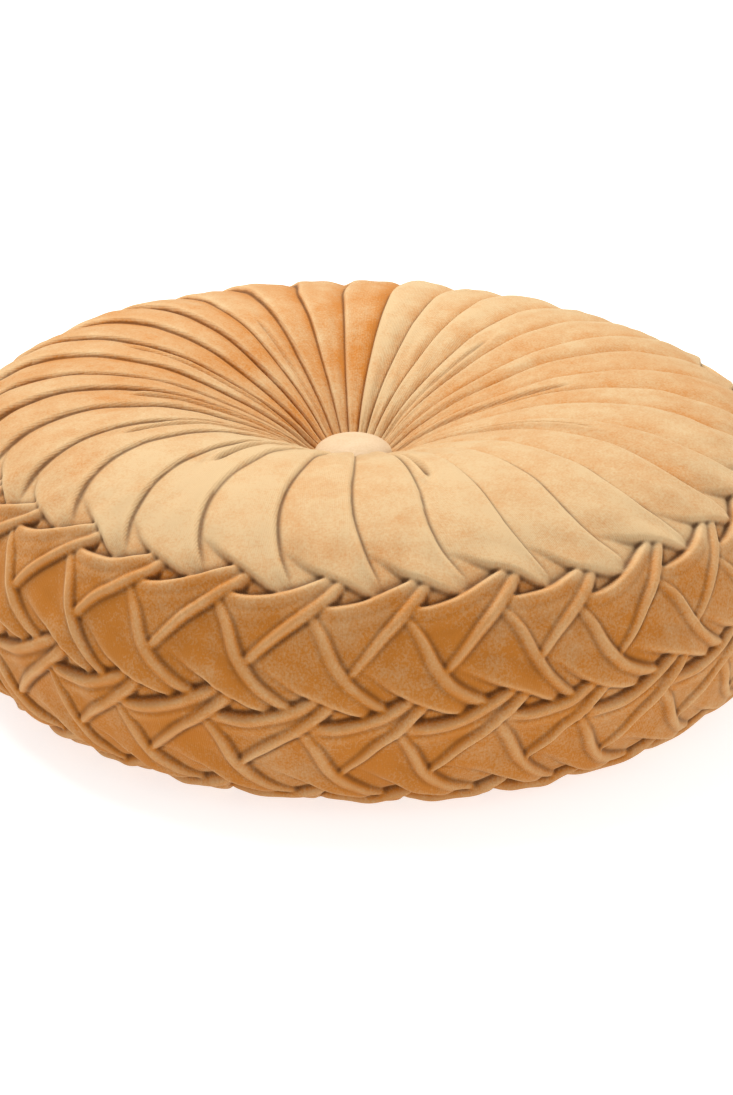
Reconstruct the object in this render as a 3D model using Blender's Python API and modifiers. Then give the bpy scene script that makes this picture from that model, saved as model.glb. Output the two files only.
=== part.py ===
"""Round floor pillow in pleated velvet, with smocked sides and a covered button sunk in each face.

The cover is one filled solid. Its body is a turned profile, and the pleats, flaps and ridges of the
smocking are raised in the points of that body. Heights are above the surface that it rests on.
"""
import math

import bmesh
import bpy
import numpy as np

MM = 0.001

# Cells of smocking around the side, and where the first knot lies, counted from -Y towards +X.
CELLS = 33
FIRST_KNOT = math.radians(1.1)

# How fine the turned body is before it is thinned to a light mesh: the spacing of its rings, and
# the rows down from the top knots at which each spacing ends.
STEPS_PER_CELL = 16
RINGS = (("top", 3.6 * MM, -0.6), ("side", 2.2 * MM, 2.4), ("underside", 4.5 * MM, None))
COVER_TRIANGLES = 11600
WELD = 0.02 * MM
PRESSED_FLAT = 0.15 * MM

# The body's section from the middle of the top to the middle of the underside.
# name, radius, height
SECTION = (
    ("top centre", 0.0000, 0.0743),
    ("under the button", 0.0165, 0.0743),
    ("foot of the dimple", 0.0228, 0.0783),
    ("dimple wall", 0.0310, 0.0885),
    ("dimple shoulder", 0.0450, 0.0985),
    ("inner crown", 0.0650, 0.1065),
    ("crown", 0.0900, 0.1135),
    ("top of the crown", 0.1150, 0.1162),
    ("outer crown", 0.1400, 0.1150),
    ("fall of the crown", 0.1640, 0.1085),
    ("top knots", 0.1820, 0.0968),
    ("upper side", 0.1930, 0.0830),
    ("above the middle", 0.1980, 0.0670),
    ("middle knots", 0.1990, 0.0540),
    ("below the middle", 0.1980, 0.0410),
    ("lower side", 0.1935, 0.0245),
    ("bottom knots", 0.1855, 0.0110),
    ("turn under", 0.1760, 0.0040),
    ("outer foot", 0.1560, 0.0004),
    ("foot", 0.1250, -0.0008),
    ("inner foot", 0.0930, 0.0006),
    ("under crown", 0.0650, 0.0055),
    ("under shoulder", 0.0450, 0.0130),
    ("under wall", 0.0300, 0.0215),
    ("under dimple foot", 0.0215, 0.0290),
    ("over the button", 0.0150, 0.0330),
    ("underside centre", 0.0000, 0.0330),
)

# The button was pulled down a little left of the middle, and the top knots slope down to the right.
BUTTON_OFFSET = -7.5 * MM
OFFSET_FADES_AT = 0.150
KNOT_LINE_SLOPE = -5.0 * MM

# Flaps and ridges of one cell. Places are in cells across and rows down from the cell's knot,
# and heights are in millimetres above the body.
# across, down, height
CRESCENT_EDGE = (
    (-0.80, 0.050, -3.0),
    (-0.67, 0.080, 0.6),
    (-0.53, 0.098, 1.9),
    (-0.29, 0.075, 2.8),
    (-0.13, 0.040, 3.1),
    (0.00, 0.000, 3.1),
    (0.18, -0.070, 2.6),
    (0.30, -0.120, 2.0),
    (0.42, -0.175, 1.0),
    (0.55, -0.240, -1.5),
)
# across, down, height
POINTED_FLAP_EDGE = (
    (-1.40, -0.350, -2.0),
    (-1.25, -0.335, -0.6),
    (-1.00, -0.290, 1.2),
    (-0.80, -0.220, 2.6),
    (-0.60, -0.140, 3.2),
    (-0.38, -0.060, 3.0),
    (-0.20, 0.005, 1.8),
    (-0.10, 0.035, 0.2),
    (0.00, 0.070, -2.0),
    (0.10, 0.120, -5.0),
)
# down, across, height
RISING_RIDGE = (
    (-0.20, 0.630, -1.0),
    (-0.09, 0.530, 1.0),
    (0.02, 0.410, 2.4),
    (0.175, 0.210, 3.5),
    (0.35, -0.020, 3.1),
    (0.495, -0.190, 2.4),
    (0.60, -0.305, 1.6),
    (0.68, -0.385, 0.2),
    (0.76, -0.460, -3.2),
)
# down, across, height
FALLING_RIDGE = (
    (0.03, -0.850, -3.0),
    (0.125, -0.775, -0.2),
    (0.20, -0.710, 1.6),
    (0.33, -0.610, 2.9),
    (0.62, -0.440, 3.9),
    (0.785, -0.270, 3.5),
    (0.88, -0.110, 2.4),
    (0.95, 0.040, 0.6),
    (1.02, 0.200, -3.4),
)
# Fold of a top pleat, from the button out to its knot: down, across, share of the full step
TOP_FOLD = (
    (-4.20, -0.05, 0.25),
    (-3.40, -0.15, 0.40),
    (-2.60, -0.25, 0.55),
    (-1.80, -0.33, 0.65),
    (-1.20, -0.38, 0.75),
    (-0.80, -0.36, 0.85),
    (-0.50, -0.27, 1.00),
    (-0.30, -0.17, 1.00),
    (-0.15, -0.07, 1.00),
    (-0.04, 0.03, 1.00),
    (0.06, 0.12, 1.00),
    (0.20, 0.24, 1.00),
)
# Fold of an underside pleat, from its knot in to the lower button: down, across, share of the step
UNDER_FOLD = (
    (-0.30, 0.60, 1.00),
    (-0.185, 0.495, 1.00),
    (-0.03, 0.37, 1.00),
    (0.20, 0.27, 1.00),
    (0.45, 0.24, 1.00),
    (0.90, 0.24, 0.80),
    (1.50, 0.28, 0.65),
    (2.40, 0.30, 0.55),
    (3.40, 0.25, 0.40),
    (4.60, 0.15, 0.25),
)

# Each knot line is turned a little against the one above: shift in cells.
LINE_SHIFT = (0.0, -0.08, -0.02)

# Sewing by hand is uneven: waves around, phase, shift in cells, shift in rows, share of height
UNEVEN = (
    (3, 0.4, 0.020, 0.015, 0.06),
    (7, 1.9, 0.025, 0.020, 0.07),
    (13, 4.1, 0.022, 0.020, 0.08),
    (19, 2.7, 0.020, 0.020, 0.08),
)

# Shapes of the folds, in millimetres: heights above the body, rounding of edges, and how far a
# flap takes to settle from its edge to its middle.
WINDOW_DEPTH = -2.4
FLAP_MIDDLE = -0.4
FLAP_HOLLOW = -1.2
FLAP_SETTLES = 13.0
FOLD_ROLL = 1.7
SOFT_ROLL = 5.0
RIDGE_WIDTH = 2.0
FALLING_RIDGE_SOFT_SIDE = 3.0
PLEAT_LOW = -2.0
PLEAT_RISE = 4.6
OUT_OF_SIGHT = -60.0

# Fall of a fold's side, and of a flap's hidden side, for each unit of distance.
FOLD_SIDE = 5.0
HIDDEN_SIDE = 3.0

# A flap swells towards the ridge on its right: share of the ridge's height, and from how far.
RISING_SWELL = (0.35, 9.0)
FALLING_SWELL = (0.65, 12.0)

# A pleat's section is this stretch of half a wave, so its right side is fuller than its left.
PLEAT_WAVE = (0.02, 0.62)

# Covered buttons
BUTTON_RADIUS = 18.0 * MM
BUTTON_BACK = 12.6 * MM
BUTTON_RIM = 3.6 * MM
BUTTON_DOME = 9.6 * MM
BUTTON_STEPS = 48
TOUCH_GAP = 0.4 * MM

VELVET_TOP = (0.72, 0.44, 0.18, 1.0)
VELVET_BUTTON = (0.80, 0.56, 0.29, 1.0)


def clear_scene():
    """Remove what the new file starts with."""
    for item in list(bpy.data.objects):
        bpy.data.objects.remove(item, do_unlink=True)


def make_material(name, colour, roughness):
    """A plain Principled material."""
    material = bpy.data.materials.new(name)
    material.use_nodes = True
    shader = material.node_tree.nodes["Principled BSDF"]
    shader.inputs["Base Color"].default_value = colour
    shader.inputs["Roughness"].default_value = roughness
    shader.inputs["Metallic"].default_value = 0.0
    return material


def smooth_curve(rows, samples):
    """Samples of a smooth curve through rows whose first column rises."""
    rows = np.array(rows, dtype=float)
    knots = rows[:, 0]
    slopes = np.gradient(rows, knots, axis=0)
    at = np.linspace(knots[0], knots[-1], samples)
    span = np.clip(np.searchsorted(knots, at, side="right") - 1, 0, len(knots) - 2)
    width = (knots[span + 1] - knots[span])[:, None]
    part = ((at - knots[span])[:, None]) / width
    start_weight = 2 * part**3 - 3 * part**2 + 1
    start_slope = (part**3 - 2 * part**2 + part) * width
    end_slope = (part**3 - part**2) * width
    curve = start_weight * rows[span] + start_slope * slopes[span]
    curve += (1 - start_weight) * rows[span + 1] + end_slope * slopes[span + 1]
    curve[:, 0] = at
    return curve


def read_curve(curve, at, column):
    """One column of a sampled curve."""
    return np.interp(at, curve[:, 0], curve[:, column])


def height_along(curve, at):
    """Height column, far below the body beyond the curve's ends."""
    outside = (at < curve[0, 0]) | (at > curve[-1, 0])
    return np.where(outside, OUT_OF_SIGHT, read_curve(curve, at, 2))


def lean(curve, at, along, across):
    """How much a slanted line shortens a distance measured straight across it."""
    slope = np.interp(at, curve[:, 0], np.gradient(curve[:, 1], curve[:, 0]))
    return 1.0 / np.sqrt(1.0 + (slope * across / along) ** 2)


def ease(start, end, value):
    """Smooth step from 0 to 1."""
    part = np.clip((value - start) / (end - start), 0.0, 1.0)
    return part * part * (3.0 - 2.0 * part)


def rolled_edge(inward, radius):
    """Drop at a folded edge: a quarter round inside it, a steep fall outside."""
    part = np.clip(1.0 - inward / radius, 0.0, 1.0)
    inside = radius * (1.0 - np.sqrt(1.0 - part * part))
    return np.where(inward >= 0.0, inside, radius - FOLD_SIDE * inward)


def round_ridge(offset, left, right):
    """Drop to each side of a narrow rounded ridge."""
    width = np.where(offset < 0.0, left, right)
    part = np.clip(np.abs(offset) / width, 0.0, 1.0)
    inside = width * (1.0 - np.sqrt(1.0 - part * part))
    return np.where(np.abs(offset) < width, inside, width + FOLD_SIDE * (np.abs(offset) - width))


class Smocking:
    """Height of the folded velvet above the body, in millimetres."""

    def __init__(self, cell_width, row_height):
        self.cell = cell_width / MM
        self.row = row_height / MM
        self.crescent = smooth_curve(CRESCENT_EDGE, 300)
        self.flap = smooth_curve(POINTED_FLAP_EDGE, 300)
        self.rising = smooth_curve(RISING_RIDGE, 300)
        self.falling = smooth_curve(FALLING_RIDGE, 300)
        self.top_fold = smooth_curve(TOP_FOLD, 600)
        self.under_fold = smooth_curve(UNDER_FOLD, 600)

    def across_line(self, curve, across, down):
        """Millimetres to the right of a line that runs down the side."""
        offset = (across - read_curve(curve, down, 1)) * self.cell
        return offset * lean(curve, down, self.row, self.cell)

    def below_line(self, curve, across, down):
        """Millimetres below a line that runs around the side."""
        offset = (down - read_curve(curve, across, 1)) * self.row
        return offset * lean(curve, across, self.cell, self.row)

    def crescent_flap(self, across, down, body):
        """A flap whose free edge is a crescent over the knot."""
        edge = height_along(self.crescent, across)
        inward = self.below_line(self.crescent, across, down)
        settled = edge + (body - edge) * ease(1.0, FLAP_SETTLES, inward)
        return settled - rolled_edge(inward, FOLD_ROLL)

    def pointed_flap(self, across, down, body):
        """A flap that narrows to a point, tucked under the crescent at its knot."""
        edge = height_along(self.flap, across)
        inward = -self.below_line(self.flap, across, down)
        roll = FOLD_ROLL + SOFT_ROLL * ease(-0.55, -1.2, across)
        settled = edge + (body - edge) * ease(1.0, FLAP_SETTLES, inward)
        return settled - rolled_edge(inward, roll)

    def lobe(self, curve, across, down):
        """A puffed pleat between two folds, low on the left and full on the right."""
        right = read_curve(curve, down, 1)
        share = read_curve(curve, down, 2)
        part = np.clip(across - right + 1.0, 0.0, 1.2)
        puff = np.sin(np.pi * (PLEAT_WAVE[0] + PLEAT_WAVE[1] * part))
        return (PLEAT_LOW + PLEAT_RISE * puff) * share

    def side_row(self, turn, down, line):
        """The flaps and ridges between one knot line and the next."""
        height = np.full(np.shape(turn), WINDOW_DEPTH)
        below = down - line
        step = LINE_SHIFT[line + 1] - LINE_SHIFT[line]
        middle = FLAP_MIDDLE + FLAP_HOLLOW * ease(0.25, 0.62, below)
        lower = FLAP_MIDDLE + FLAP_HOLLOW * ease(0.7, 0.35, below)
        for neighbour in (-1, 0, 1, 2):
            across = turn - np.floor(turn) - neighbour - LINE_SHIFT[line]
            right_of_rising = self.across_line(self.rising, across, below)
            right_of_falling = self.across_line(self.falling, across, below)
            right_of_last = self.across_line(self.rising, across + 1.0, below)

            rising_top = height_along(self.rising, below)
            rising = rising_top - round_ridge(right_of_rising, RIDGE_WIDTH, RIDGE_WIDTH)
            falling_top = height_along(self.falling, below)
            falling = falling_top - round_ridge(right_of_falling, FALLING_RIDGE_SOFT_SIDE, RIDGE_WIDTH)
            share, reach = RISING_SWELL
            swell = share * np.maximum(rising_top - middle, 0.0)
            middle_near = middle + swell * ease(-reach, 0.0, right_of_rising)
            share, reach = FALLING_SWELL
            swell = share * np.maximum(falling_top - lower, 0.0)
            lower_near = lower + swell * ease(-reach, 0.0, right_of_falling)

            upper_flap = self.crescent_flap(across, below, middle_near)
            upper_flap -= HIDDEN_SIDE * np.maximum(right_of_rising, 0.0)
            upper_flap -= HIDDEN_SIDE * np.maximum(-right_of_falling, 0.0)
            upper_flap = np.where(below > 0.8, OUT_OF_SIGHT, upper_flap)

            lower_flap = self.pointed_flap(across - step, below - 1.0, lower_near)
            lower_flap -= HIDDEN_SIDE * np.maximum(-right_of_last, 0.0)
            lower_flap -= HIDDEN_SIDE * np.maximum(right_of_falling, 0.0)
            lower_flap = np.where(below < 0.1, OUT_OF_SIGHT, lower_flap)

            height = np.maximum.reduce([height, rising, falling, upper_flap, lower_flap])
        return height

    def top_pleats(self, turn, down):
        """The pleats that run from the button to the top knots."""
        height = np.full(np.shape(turn), WINDOW_DEPTH)
        for neighbour in (-1, 0, 1, 2):
            across = turn - np.floor(turn) - neighbour
            body = self.lobe(self.top_fold, across, down)
            pleat = self.pointed_flap(across, down, body)
            left_of_fold = -self.across_line(self.top_fold, across, down)
            pleat -= rolled_edge(left_of_fold, FOLD_ROLL * read_curve(self.top_fold, down, 2))
            height = np.maximum(height, np.where(down > 0.2, OUT_OF_SIGHT, pleat))
        return height

    def under_pleats(self, turn, down):
        """The pleats that run from the bottom knots to the lower button."""
        height = np.full(np.shape(turn), WINDOW_DEPTH)
        below = down - 2.0
        for neighbour in (-1, 0, 1, 2):
            across = turn - np.floor(turn) - neighbour - LINE_SHIFT[2]
            body = self.lobe(self.under_fold, across, below)
            pleat = self.crescent_flap(across, below, body)
            left_of_fold = -self.across_line(self.under_fold, across, below)
            pleat -= rolled_edge(left_of_fold, FOLD_ROLL * read_curve(self.under_fold, below, 2))
            height = np.maximum(height, np.where(below < -0.35, OUT_OF_SIGHT, pleat))
        return height

    def relief(self, turn, down):
        """Height at a number of cells around and rows down."""
        height = np.maximum(self.top_pleats(turn, down), self.under_pleats(turn, down))
        height = np.maximum(height, self.side_row(turn, down, 0))
        return np.maximum(height, self.side_row(turn, down, 1))


class Body:
    """The turned body under the folds, and where each place of the pattern lies on it."""

    def __init__(self):
        points = np.array([(radius, height) for name, radius, height in SECTION])
        chords = np.hypot(*np.diff(points, axis=0).T)
        table = np.column_stack([np.concatenate([[0.0], np.cumsum(chords)]), points])
        curve = smooth_curve(table, 4000)
        lengths = np.hypot(*np.diff(curve[:, 1:], axis=0).T)
        self.along = np.concatenate([[0.0], np.cumsum(lengths)])
        self.radius = curve[:, 1]
        self.height = curve[:, 2]
        names = [row[0] for row in SECTION]
        lines = [names.index(name) for name in ("top knots", "middle knots", "bottom knots")]
        top, middle, bottom = np.interp(table[lines, 0], curve[:, 0], self.along)
        self.row_height = (bottom - top) / 2.0
        upper = (self.along - top) / self.row_height
        side = np.interp(self.along, (top, middle, bottom), (0.0, 1.0, 2.0))
        lower = 2.0 + (self.along - bottom) / self.row_height
        self.down = np.where(self.along < top, upper, np.where(self.along > bottom, lower, side))
        self.out_radius = -np.gradient(self.height, self.along)
        self.out_height = np.gradient(self.radius, self.along)
        self.cell_width = 2.0 * math.pi * self.radius[np.argmin(np.abs(self.along - middle))] / CELLS
        self.smocking = Smocking(self.cell_width, self.row_height)

    def rings(self):
        """Rows down at which the turned body has a ring of points."""
        levels = [self.down[0]]
        for name, spacing, end in RINGS:
            end = self.down[-1] if end is None else end
            count = round((end - levels[-1]) * self.row_height / spacing)
            levels += list(np.linspace(levels[-1], end, count + 1)[1:])
        return np.array(levels)

    def read(self, values, down):
        """Values of the section at a number of rows down."""
        return np.interp(down, self.down, values)

    def place(self, turn, down):
        """Points of the folded velvet, uneven as hand sewing is."""
        angle = turn * 2.0 * math.pi / CELLS
        shifted = turn
        lowered = down
        firm = 1.0
        on_side = ease(-1.0, 0.0, down) * ease(3.0, 2.0, down)
        for waves, phase, shift, drop, share in UNEVEN:
            shifted = shifted + shift * np.sin(waves * angle + phase)
            lowered = lowered + drop * np.sin(waves * angle + 2.0 * phase) * on_side
            firm = firm + share * np.sin(waves * angle + 3.0 * phase)
        angle = FIRST_KNOT + shifted * 2.0 * math.pi / CELLS

        radius = self.read(self.radius, lowered)
        relief = self.smocking.relief(turn, down) * firm * MM
        relief = relief * ease(BUTTON_RADIUS * 0.9, BUTTON_RADIUS * 2.0, radius)
        height = self.read(self.height, lowered) + relief * self.read(self.out_height, lowered)
        slope = KNOT_LINE_SLOPE * np.sin(angle) * radius / self.radius.max()
        height = height + slope * ease(1.5, 0.0, down)
        sideways = BUTTON_OFFSET * (1.0 - ease(0.0, OFFSET_FADES_AT, radius))
        radius = radius + relief * self.read(self.out_radius, lowered)
        across = radius * np.sin(angle) + sideways
        return np.stack([across, -radius * np.cos(angle), np.maximum(height, 0.0)], axis=-1)


def turned_object(name, section, steps, collection):
    """An object whose section, a row of radii and heights, is turned about its upright axis."""
    mesh = bpy.data.meshes.new(name)
    corners = [(radius, 0.0, height) for radius, height in section]
    edges = [(index, index + 1) for index in range(len(corners) - 1)]
    mesh.from_pydata(corners, edges, [])
    turned = bpy.data.objects.new(name, mesh)
    collection.objects.link(turned)
    screw = turned.modifiers.new("turn", "SCREW")
    screw.steps = steps
    screw.render_steps = steps
    screw.use_merge_vertices = True
    screw.merge_threshold = 0.01 * MM
    screw.use_normal_calculate = True
    return turned


def finished_mesh(item):
    """The mesh of an object as its modifiers leave it; the object itself is removed."""
    view = bpy.context.evaluated_depsgraph_get()
    mesh = bpy.data.meshes.new_from_object(item.evaluated_get(view))
    bpy.data.objects.remove(item, do_unlink=True)
    return mesh


def raise_folds(mesh, body, rings):
    """Move each point of the turned body to its place on the folded velvet."""
    points = np.empty(len(mesh.vertices) * 3)
    mesh.vertices.foreach_get("co", points)
    points = points.reshape(-1, 3)
    turn = np.arctan2(points[:, 0], -points[:, 1]) / (2.0 * math.pi) * CELLS
    radius = body.read(body.radius, rings)
    height = body.read(body.height, rings)
    span = np.hypot(points[:, 0], points[:, 1])
    nearest = [np.argmin((radius - r) ** 2 + (height - z) ** 2) for r, z in zip(span, points[:, 2])]
    points = body.place(turn, rings[nearest])
    mesh.vertices.foreach_set("co", points.ravel())
    mesh.update()


def make_cover(collection, material):
    """The filled velvet cover, thinned to a light mesh, flat where it stands."""
    body = Body()
    rings = body.rings()
    section = zip(body.read(body.radius, rings), body.read(body.height, rings))
    mesh = finished_mesh(turned_object("body", section, CELLS * STEPS_PER_CELL, collection))
    raise_folds(mesh, body, rings)
    dense = bpy.data.objects.new("dense cover", mesh)
    collection.objects.link(dense)
    triangles = sum(len(face.vertices) - 2 for face in mesh.polygons)
    thin = dense.modifiers.new("thin", "DECIMATE")
    thin.ratio = COVER_TRIANGLES / triangles
    light = finished_mesh(dense)

    edit = bmesh.new()
    edit.from_mesh(light)
    bmesh.ops.triangulate(edit, faces=edit.faces)
    bmesh.ops.dissolve_degenerate(edit, dist=WELD, edges=edit.edges)
    for corner in edit.verts:
        if corner.co.z < PRESSED_FLAT:
            corner.co.z = 0.0
    wide = [corner.co.x for corner in edit.verts]
    deep = [corner.co.y for corner in edit.verts]
    centre = ((max(wide) + min(wide)) / 2.0, (max(deep) + min(deep)) / 2.0)
    bmesh.ops.translate(edit, verts=edit.verts, vec=(-centre[0], -centre[1], 0.0))
    bmesh.ops.recalc_face_normals(edit, faces=edit.faces)
    edit.to_mesh(light)
    edit.free()

    light.name = "cover"
    light.materials.clear()
    light.materials.append(material)
    cover = bpy.data.objects.new("cover", light)
    collection.objects.link(cover)
    return centre


def make_button(name, seat, up, centre, collection, material):
    """A covered button: a turned section with a flat back, a round rim and a domed face."""
    section = [(0.0, 0.0), (BUTTON_BACK, 0.0)]
    for part in range(1, 9):
        swing = math.pi / 2.0 * part / 8.0
        rim = BUTTON_BACK + (BUTTON_RADIUS - BUTTON_BACK) * math.sin(swing)
        section.append((rim, BUTTON_RIM * (1.0 - math.cos(swing))))
    for part in range(1, 10):
        swing = math.pi / 2.0 * part / 10.0
        dome = BUTTON_RIM + (BUTTON_DOME - BUTTON_RIM) * math.sin(swing)
        section.append((BUTTON_RADIUS * math.cos(swing), dome))
    section.append((0.0, BUTTON_DOME))
    section = [(radius, height * up) for radius, height in section]
    button = turned_object(name, section, BUTTON_STEPS, collection)
    button.data.materials.append(material)
    button.location = (BUTTON_OFFSET - centre[0], -centre[1], seat)


def main():
    """Build the pillow."""
    clear_scene()
    collection = bpy.data.collections.new("Round pleated pillow")
    bpy.context.scene.collection.children.link(collection)
    velvet = make_material("golden velvet", VELVET_TOP, 0.9)
    button_velvet = make_material("button velvet", VELVET_BUTTON, 0.85)
    centre = make_cover(collection, velvet)
    heights = {name: height for name, radius, height in SECTION}
    make_button("top_button", heights["top centre"] + TOUCH_GAP, 1.0, centre, collection, button_velvet)
    make_button("under_button", heights["underside centre"] - TOUCH_GAP, -1.0, centre, collection,
                button_velvet)


main()
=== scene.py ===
# %% [markdown]
# # A round velvet pillow with smocked sides
# The real pillow is one wide tube of golden velvet. Its middle is smocked: small stitches on the back
# draw the cloth into rows of crossing folds. Both ends of the tube are gathered into knife pleats and
# pulled down in the middle by a covered button. Here the tube is dressed over the filled solid that
# the frame brings, fold by fold, and then it gets its velvet.

# %% Open the frame
import math

import bpy
import numpy as np
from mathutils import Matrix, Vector


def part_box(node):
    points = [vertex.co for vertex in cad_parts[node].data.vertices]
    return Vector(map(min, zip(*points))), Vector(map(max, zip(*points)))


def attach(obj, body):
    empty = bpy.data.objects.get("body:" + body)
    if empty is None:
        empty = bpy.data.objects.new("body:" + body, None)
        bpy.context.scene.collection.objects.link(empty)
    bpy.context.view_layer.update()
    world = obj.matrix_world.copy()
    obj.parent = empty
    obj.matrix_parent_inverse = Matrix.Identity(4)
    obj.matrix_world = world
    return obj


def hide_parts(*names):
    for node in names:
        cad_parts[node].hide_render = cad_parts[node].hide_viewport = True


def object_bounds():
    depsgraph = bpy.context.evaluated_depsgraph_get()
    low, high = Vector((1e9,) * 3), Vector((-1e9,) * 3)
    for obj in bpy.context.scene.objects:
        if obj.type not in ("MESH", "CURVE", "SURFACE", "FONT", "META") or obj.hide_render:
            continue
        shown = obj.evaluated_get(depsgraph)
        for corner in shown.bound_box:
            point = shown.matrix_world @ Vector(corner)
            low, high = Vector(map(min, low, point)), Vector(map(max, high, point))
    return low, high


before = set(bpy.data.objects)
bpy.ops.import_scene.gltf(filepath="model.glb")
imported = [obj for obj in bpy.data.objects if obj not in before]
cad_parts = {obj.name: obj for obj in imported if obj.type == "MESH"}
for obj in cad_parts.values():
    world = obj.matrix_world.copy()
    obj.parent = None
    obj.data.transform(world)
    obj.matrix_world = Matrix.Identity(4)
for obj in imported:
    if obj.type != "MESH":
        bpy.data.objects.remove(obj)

solid_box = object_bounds()
button_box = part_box("top_button")
under_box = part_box("under_button")
pillow_width = solid_box[1].x - solid_box[0].x
print("pillow", [round(side * 1000) for side in solid_box[1] - solid_box[0]], "mm")

# %% [markdown]
# ## The shape under the folds
# A stuffed round pillow is nearly a turned form: a crown on top, a funnel down to the button, an
# upright side and a flat foot where it lies. A list of named places along the section is easy to
# read against the photo, and a smooth curve through them gives the rest. The three knot lines are
# places of this section, because the folds are counted in rows from one line to the next.

# %% The section of the body
MM = 0.001
SCALE = pillow_width / 0.404
# name, radius, height
SECTION = (
    ("top centre", 0.0000, 0.0785),
    ("under the button", 0.0150, 0.0788),
    ("foot of the dimple", 0.0210, 0.0815),
    ("dimple wall", 0.0300, 0.0882),
    ("dimple shoulder", 0.0450, 0.0970),
    ("inner crown", 0.0650, 0.1055),
    ("crown", 0.0900, 0.1135),
    ("top of the crown", 0.1150, 0.1162),
    ("outer crown", 0.1400, 0.1150),
    ("fall of the crown", 0.1640, 0.1085),
    ("top knots", 0.1820, 0.0968),
    ("upper side", 0.1930, 0.0830),
    ("above the middle", 0.1980, 0.0670),
    ("middle knots", 0.1990, 0.0540),
    ("below the middle", 0.1980, 0.0410),
    ("lower side", 0.1935, 0.0245),
    ("bottom knots", 0.1855, 0.0110),
    ("turn under", 0.1760, 0.0040),
    ("outer foot", 0.1560, 0.0008),
    ("foot", 0.1250, -0.0002),
    ("inner foot", 0.0930, 0.0010),
    ("under crown", 0.0650, 0.0055),
    ("under shoulder", 0.0450, 0.0130),
    ("under wall", 0.0300, 0.0215),
    ("under dimple foot", 0.0210, 0.0285),
    ("over the button", 0.0150, 0.0325),
    ("underside centre", 0.0000, 0.0328),
)


def smooth_curve(rows, samples):
    """Samples of a smooth curve through rows whose first column rises."""
    rows = np.array(rows, dtype=float)
    places = rows[:, 0]
    slopes = np.gradient(rows, places, axis=0)
    at = np.linspace(places[0], places[-1], samples)
    span = np.clip(np.searchsorted(places, at, side="right") - 1, 0, len(places) - 2)
    width = (places[span + 1] - places[span])[:, None]
    part = (at - places[span])[:, None] / width
    start = 2 * part**3 - 3 * part**2 + 1
    leaving = (part**3 - 2 * part**2 + part) * width
    arriving = (part**3 - part**2) * width
    curve = start * rows[span] + leaving * slopes[span]
    curve += (1 - start) * rows[span + 1] + arriving * slopes[span + 1]
    curve[:, 0] = at
    return curve


points = np.array([(radius, height) for name, radius, height in SECTION]) * SCALE
chords = np.concatenate([[0.0], np.cumsum(np.hypot(*np.diff(points, axis=0).T))])
section = smooth_curve(np.column_stack([chords, points]), 4000)
lengths = np.hypot(*np.diff(section[:, 1:], axis=0).T)
along = np.concatenate([[0.0], np.cumsum(lengths)])
names = [row[0] for row in SECTION]
lines = [names.index(name) for name in ("top knots", "middle knots", "bottom knots")]
top_line, middle_line, bottom_line = np.interp(chords[lines], section[:, 0], along)
print("cloth from button to button", round(along[-1] * 1000), "mm")

# %% [markdown]
# ## Rows and cells
# The smocking is a repeat: 33 cells around and two rows down, between three knot lines. Every place on
# the cloth gets two numbers, cells around and rows down, so one drawing of the folds serves them all.
# Rows above the top line are negative, and lead over the crown to the button.

# %% Count the rows down
CELLS = 33
# A fold reaches into the cells beside its own, so each place asks these too
NEIGHBOURS = (-1, 0, 1, 2)
row_height = (bottom_line - top_line) / 2.0
side_down = np.interp(along, (top_line, middle_line, bottom_line), (0.0, 1.0, 2.0))
crown_down = (along - top_line) / row_height
under_down = 2.0 + (along - bottom_line) / row_height
section_down = np.where(along < top_line, crown_down, np.where(along > bottom_line, under_down, side_down))
section_radius = section[:, 1]
section_height = section[:, 2]
out_radius = -np.gradient(section_height, along)
out_height = np.gradient(section_radius, along)
cell_width = 2.0 * math.pi * np.interp(1.0, section_down, section_radius) / CELLS


def angle_of(cells):
    """Angle around the pillow of a number of cells."""
    return cells * 2.0 * math.pi / CELLS


print("row", round(row_height * 1000, 1), "mm, cell", round(cell_width * 1000, 1), "mm")

# %% [markdown]
# ## The lines of one cell
# In the photo each cell has the same few lines: a crescent edge that runs over the knot, a pointed
# flap whose tip is tucked under that crescent, and two narrow ridges that cross below it like a
# leaning X. Each line is a short table of places that were judged on the photo, in cells across
# and rows down from the knot, with its height above the body in millimetres.

# %% Lines across the cell
# across, down, height
CRESCENT_EDGE = (
    (-0.80, 0.050, -3.0),
    (-0.67, 0.080, 0.6),
    (-0.53, 0.098, 1.9),
    (-0.29, 0.075, 2.8),
    (-0.13, 0.040, 3.1),
    (0.00, 0.000, 3.1),
    (0.18, -0.070, 2.6),
    (0.30, -0.120, 2.0),
    (0.42, -0.175, 1.0),
    (0.55, -0.240, -1.5),
)
# across, down, height
POINTED_FLAP_EDGE = (
    (-1.40, -0.275, -1.4),
    (-1.25, -0.270, -0.8),
    (-1.00, -0.240, 0.5),
    (-0.80, -0.190, 1.8),
    (-0.60, -0.132, 2.9),
    (-0.38, -0.060, 3.0),
    (-0.20, 0.005, 2.0),
    (-0.10, 0.035, 0.4),
    (0.00, 0.070, -2.0),
    (0.10, 0.120, -5.0),
)

# %% Lines down the cell
# down, across, height
RISING_RIDGE = (
    (-0.20, 0.640, -1.0),
    (-0.12, 0.560, 0.9),
    (0.02, 0.415, 2.3),
    (0.175, 0.215, 2.7),
    (0.35, -0.020, 2.5),
    (0.495, -0.190, 2.0),
    (0.60, -0.305, 1.3),
    (0.68, -0.385, 0.2),
    (0.76, -0.460, -2.2),
)
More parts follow.
